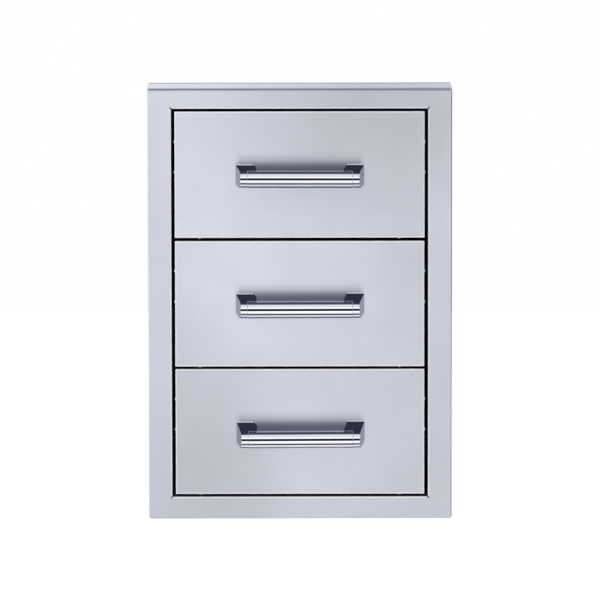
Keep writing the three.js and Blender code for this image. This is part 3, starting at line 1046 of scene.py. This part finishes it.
def post_outline(sizes, side):
    """A post's side outline as (y, z) about the front's middle, from the flare round the bar's end.

    The first list runs along the top from the front's face to the flare's end, the second along
    the foot, and the third from there round the tube.
    """
    radius = sizes.cap_radius
    centre = Vector((-sizes.bar_standoff, -sizes.bar_drop))
    top = Vector((0, BASE_RISE[side] + sizes.base_height / 2))
    foot = Vector((0, BASE_RISE[side] - sizes.base_height / 2))

    def tangent(base, turn):
        reach = base - centre
        return math.atan2(reach.y, reach.x) + turn * math.acos(radius / reach.length)

    start = tangent(top, 1)
    end = tangent(foot, -1) % (2 * math.pi)
    arc = []
    arc_steps = sizes.round_steps // 2
    for step in range(arc_steps + 1):
        angle = start + (end - start) * step / arc_steps
        arc.append(centre + radius * Vector((math.cos(angle), math.sin(angle))))
    upper, lower = ([base.lerp(touch, FLARE_DEPTH[side] * share / -touch.x)
                     for share in FLARE_SHARES] for base, touch in ((top, arc[0]), (foot, arc[-1])))
    return upper, lower, arc


class UNIT_OT_handles(Operator):
    """Turns the pull bars and shapes the posts that carry them"""
    bl_idname = "drawer_unit.handles"
    bl_label = "Pull handles"

    def execute(self, context):
        sizes = context.scene.handle_sizes
        projection = sizes.bar_standoff + sizes.bar_radius
        for place in PLACES:
            half = BAR_BOX[place][1][0]
            body = f"{place}_drawer"
            middle = bar_matrix(place, sizes)
            bar = new_piece(
                f"{place}_pull_tube",
                lambda bm: lathe(bm, bar_profile(half, sizes), sizes.round_steps, middle),
                body)
            dress(bar, "polished_tube")
            bar.visible_glossy = False
            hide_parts(f"{place}_handle_bar")
            for side, sign in SIDES.items():
                post = new_piece(f"{place}_pull_post_{side}",
                                 lambda bm: self.post_blank(bm, place, side, sizes, projection),
                                 body)
                cut_with(post, lambda bm: self.bar_space(bm, half, sign, sizes, middle))
                ease_edges(post, sizes.edge, segments=3, degrees=30)
                dress(post, "polished_casting", degrees=30)
                post.visible_glossy = False
                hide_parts(f"{place}_handle_post_{side}")
            seats = new_piece(f"{place}_pull_seats", lambda bm: self.seats(bm, place, sizes),
                              body)
            dress(seats, "brushed_seat")
        return {"FINISHED"}

    @staticmethod
    def seats(bm, place, sizes):
        """Thin rounded seats between the front and the posts."""
        middle = handle_place(place)
        lift = (sizes.seat_rise - sizes.seat_margin) / 2
        high = sizes.base_height / 2 + (sizes.seat_rise + sizes.seat_margin) / 2
        wide = sizes.post_width / 2 + sizes.seat_margin
        thick = sizes.seat_thickness
        ease = thick / 3
        for side, sign in SIDES.items():
            rings = []
            for y, inwards in ((0, 0), (ease - thick, 0),
                               (SEAT_BEND * ease - thick, SEAT_BEND * ease), (-thick, ease)):
                outline = rounded_rectangle(wide - inwards, high - inwards, SEAT_CORNER)
                rings.append([middle @ Vector((sign * sizes.base_spread + x, y,
                                               BASE_RISE[side] + lift + z)) for x, z in outline])
            loft(bm, rings, closed=False, caps=True)

    @staticmethod
    def post_blank(bm, place, side, sizes, projection):
        """The leaning block that a post is cut from, with the flare of its inner side."""
        top, foot, arc = post_outline(sizes, side)
        middle = handle_place(place)

        def corner(spot, inner):
            across = sizes.base_spread - sizes.lean * -spot.x / projection
            if inner:
                run = min(-spot.x / FLARE_DEPTH[side], 1.0)
                run -= FLARE_EASE * max(0.0, 1 - abs(run - 1) / FLARE_EASE) ** 2
                across = sizes.base_spread - sizes.post_width / 2 - sizes.flare * run
            else:
                across += sizes.post_width / 2
            return bm.verts.new(middle @ Vector((SIDES[side] * across, spot.x, spot.y)))

        rows = [[[corner(spot, inner) for spot in path] for path in (top, foot, arc)]
                for inner in (False, True)]
        for upper, lower, _ in rows:
            for k in range(len(upper) - 1):
                bm.faces.new((upper[k], upper[k + 1], lower[k + 1], lower[k]))
        for upper, lower, round_end in rows:
            bm.faces.new([upper[-1], *round_end, lower[-1]])
        outlines = [[*upper, *round_end, *lower[::-1]] for upper, lower, round_end in rows]
        count = len(outlines[0])
        for k in range(count):
            j = (k + 1) % count
            bm.faces.new((outlines[0][k], outlines[0][j], outlines[1][j], outlines[1][k]))

    @staticmethod
    def bar_space(bm, half, sign, sizes, middle):
        """The round space that the tube takes out of a post."""
        radius = sizes.bar_radius + sizes.seat_gap
        ends = sorted((sign * (half + sizes.seat_gap), 0.0))
        lathe(bm, [(radius, end) for end in ends], sizes.round_steps, middle, closed=False)


# Rivets

# How deep a head sinks in, its facets up and round, and the share of its radius that stays flat.
HEAD_SINK = 0.3 * MM
HEAD_STEPS = 6
HEAD_SIDES = 20
HEAD_FLAT = 0.08

# Where the cabinet's heads stand along an edge or a slide, as shares of its length.
HEAD_SHARES = (0.08, 0.36, 0.64, 0.92)


def dome(bm, radius, height, place):
    """A rivet's head, domed towards +X of its place."""
    profile = [(radius, -HEAD_SINK)]
    for step in range(HEAD_STEPS):
        angle = math.pi / 2 * step / HEAD_STEPS
        profile.append((radius * math.cos(angle), height * math.sin(angle)))
    profile.append((HEAD_FLAT * radius, height))
    lathe(bm, profile, HEAD_SIDES, place, closed=False)


def outwards(x, y, z, sign):
    """A place on the left or right side whose X axis points away from the unit."""
    return Matrix.Translation((x, y, z)) @ Matrix.Rotation(0 if sign > 0 else math.pi, 4, "Z")


def cabinet_heads(bm, sizes):
    """Heads outside the cabinet: along each slide, the rear edges and the top's edges."""
    low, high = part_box("cabinet_right_side")
    spots = [(high[1] - sizes.box_inset, low[2] + (high[2] - low[2]) * share)
             for share in HEAD_SHARES]
    for place in PLACES:
        start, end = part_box(f"{place}_cabinet_channel_right")
        spots += [(start[1] + (end[1] - start[1]) * share, (start[2] + end[2]) / 2)
                  for share in HEAD_SHARES]
    top_low, top_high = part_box("cabinet_top")
    up = Matrix.Rotation(-math.pi / 2, 4, "Y")
    for sign in SIDES.values():
        for y, z in spots:
            dome(bm, sizes.box_radius, sizes.box_height, outwards(sign * top_high[0], y, z, sign))
        for share in HEAD_SHARES:
            y = top_low[1] + (top_high[1] - top_low[1]) * share
            spot = Matrix.Translation((sign * (top_high[0] - sizes.box_inset), y, top_high[2]))
            dome(bm, sizes.box_radius, sizes.box_height, spot @ up)


class UNIT_OT_rivets(Operator):
    """Sets the rivets of the drawer fronts and of the cabinet"""
    bl_idname = "drawer_unit.rivets"
    bl_label = "Rivets"

    def execute(self, context):
        sizes = context.scene.rivet_sizes
        for place in PLACES:
            left, right, foot, top = front_edges(place)
            y = FACE_Y + sizes.depth

            def heads(bm):
                down = Matrix.Rotation(math.pi / 2, 4, "Y")
                for sign, edge in ((-1, left), (1, right)):
                    spots = [outwards(edge, y, top - drop, sign)
                             for drop in (sizes.side_drop, sizes.second_drop)]
                    inset = edge - sign * sizes.foot_inset
                    spots.append(Matrix.Translation((inset, y, foot)) @ down)
                    for spot in spots:
                        dome(bm, sizes.head_radius, sizes.head_height, spot)

            piece = new_piece(f"{place}_front_rivets", heads, f"{place}_drawer")
            dress(piece, "bright_fastener")
        piece = new_piece("cabinet_rivets", lambda bm: cabinet_heads(bm, sizes),
                          "cabinet")
        dress(piece, "bright_fastener")
        return {"FINISHED"}


# Finishes of the pieces that stay as they come

NODE_FINISHES = {
    "cabinet_floor": "mill_sheet", "cabinet_top": "mill_sheet", "cabinet_back": "mill_sheet",
    "cabinet_left_side": "mill_sheet", "cabinet_right_side": "mill_sheet",
    "front_liner": "mill_sheet", "tray": "mill_sheet", "handle_screw": "bright_fastener",
    "cabinet_channel": "zinc_plate", "intermediate_rail": "zinc_plate",
    "drawer_rail": "zinc_plate", "cage": "cage_steel",
}

# Rounding of the edges of sheets, rails and screws.
NODE_EDGE = 0.3 * MM


class UNIT_OT_box_and_slides(Operator):
    """Finishes the cabinet box, the trays and the slides"""
    bl_idname = "drawer_unit.box_and_slides"
    bl_label = "Box, trays and slides"

    def execute(self, context):
        for name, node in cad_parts.items():
            for key, look in NODE_FINISHES.items():
                if key in name:
                    paint(node, look)
                    if look != "cage_steel":
                        ease_edges(node, NODE_EDGE, segments=2, degrees=40)
                    break
        return {"FINISHED"}


# Stage

# Light seen along a circle from straight ahead, over the top, to the back: (degrees, light).
LIGHT_BANDS = ((-180, 0.8), (-125, 0.6), (-108, 0.9), (-98, 1.5), (-83, 1.4), (-76, 0.1),
               (-56, 0.1), (-50, 1.35), (-36, 1.45), (-30, 1.9), (-20, 1.9), (-15.5, 0.02),
               (12, 0.02), (17, 1.6), (20, 1.8), (28, 1.8), (34, 1.15), (60, 1.2), (69, 1.1),
               (78, 0.12), (100, 0.12), (110, 1.3), (135, 1.6), (180, 1.0))
# Light of the side cards from left to right as shares of the brightest, and how much they count.
SIDE_LIGHT = ((0.0, 0.25), (0.15, 0.25), (0.35, 0.25), (0.62, 0.25), (0.8, 0.07), (1.0, 0.05))
SIDE_SHARE = ((0.0, 1.0), (0.1, 1.0), (0.25, 0.0), (0.75, 0.0), (0.9, 1.0), (1.0, 1.0))
# The light that a level of 1 stands for in these tables, and the light that is added everywhere.
BRIGHTEST = 4
LEAST_LIGHT = (0.01, 0.01, 0.04)
WHITE = (1, 1, 1, 1)


def studio_world(strength):
    """Soft surroundings: bright cards above and below with dark gaps, and a card at the left."""
    world = bpy.data.worlds.new("studio")
    bpy.context.scene.world = world
    world.use_nodes = True
    tree = world.node_tree
    x, y, z = position(tree, "Generated")
    turn = z.math("ARCTAN2", y * -1.0)
    bands = table(turn / (2 * math.pi) + 0.5,
                  [(degrees / 360 + 0.5, light / BRIGHTEST) for degrees, light in LIGHT_BANDS])
    across = x / 2.0 + 0.5
    mixed = blend(tree, table(across, SIDE_SHARE), bands, table(across, SIDE_LIGHT))
    lit = operate(tree, "VectorMath", "SCALE", mixed, Scale=BRIGHTEST * strength)
    lifted = operate(tree, "VectorMath", "ADD", lit.outputs[0], LEAST_LIGHT)
    seen = add_node(tree, "LightPath").outputs["Is Camera Ray"]
    fill(tree, tree.nodes["Background"], Color=blend(tree, seen, lifted.outputs[0], WHITE))


class UNIT_OT_stage(Operator):
    """Lays the floor, lights the scene and sets the camera"""
    bl_idname = "drawer_unit.stage"
    bl_label = "Stage"

    def execute(self, context):
        settings = context.scene.stage_settings
        studio_world(settings.light)
        self.floor(settings)
        self.camera(settings)
        context.scene.view_settings.view_transform = "Standard"
        return {"FINISHED"}

    @staticmethod
    def floor(settings):
        """A plain pale floor that the cards' reflections ignore."""
        floor = mesh_object("floor", lambda bm: bmesh.ops.create_grid(
            bm, x_segments=8, y_segments=8, size=settings.floor_size / 2))
        material = bpy.data.materials.new("pale_floor")
        material.use_nodes = True
        fill(material.node_tree, principled(material), Roughness=0.8,
             Base_Color=(0.85, 0.85, 0.85, 1), Emission_Color=WHITE, Emission_Strength=0.8)
        floor.data.materials.append(material)
        floor.visible_glossy = False

    @staticmethod
    def camera(settings):
        """A camera in front of the unit's middle that looks slightly down."""
        data = bpy.data.cameras.new("camera")
        data.lens = settings.lens
        data.sensor_width = 36.0
        camera = bpy.data.objects.new("camera", data)
        camera.location = (settings.camera_aside, FACE_Y - settings.camera_distance,
                           settings.camera_height)
        camera.rotation_euler = (math.pi / 2 - settings.camera_pitch, settings.camera_roll, 0)
        bpy.context.scene.collection.objects.link(camera)
        bpy.context.scene.camera = camera


OPERATORS = (UNIT_OT_stage, UNIT_OT_trim_frame, UNIT_OT_fronts, UNIT_OT_handles, UNIT_OT_rivets,
             UNIT_OT_box_and_slides)


class UNIT_PT_panel(Panel):
    """Lists the pieces of the drawer unit"""
    bl_idname = "UNIT_PT_panel"
    bl_label = "Drawer unit"
    bl_space_type = "VIEW_3D"
    bl_region_type = "UI"
    bl_category = "Drawer unit"

    def draw(self, context):
        for operator in OPERATORS:
            self.layout.operator(operator.bl_idname)


def register():
    for group in GROUPS.values():
        bpy.utils.register_class(group)
    for name, group in GROUPS.items():
        setattr(bpy.types.Scene, name, PointerProperty(type=group))
    for operator in OPERATORS:
        bpy.utils.register_class(operator)
    bpy.utils.register_class(UNIT_PT_panel)


def unregister():
    bpy.utils.unregister_class(UNIT_PT_panel)
    for operator in reversed(OPERATORS):
        bpy.utils.unregister_class(operator)
    for name in reversed(GROUPS):
        delattr(bpy.types.Scene, name)
    for group in reversed(GROUPS.values()):
        bpy.utils.unregister_class(group)


def main():
    register()
    for operator in OPERATORS:
        family, name = operator.bl_idname.split(".")
        getattr(getattr(bpy.ops, family), name)()


if __name__ == "__main__":
    main()
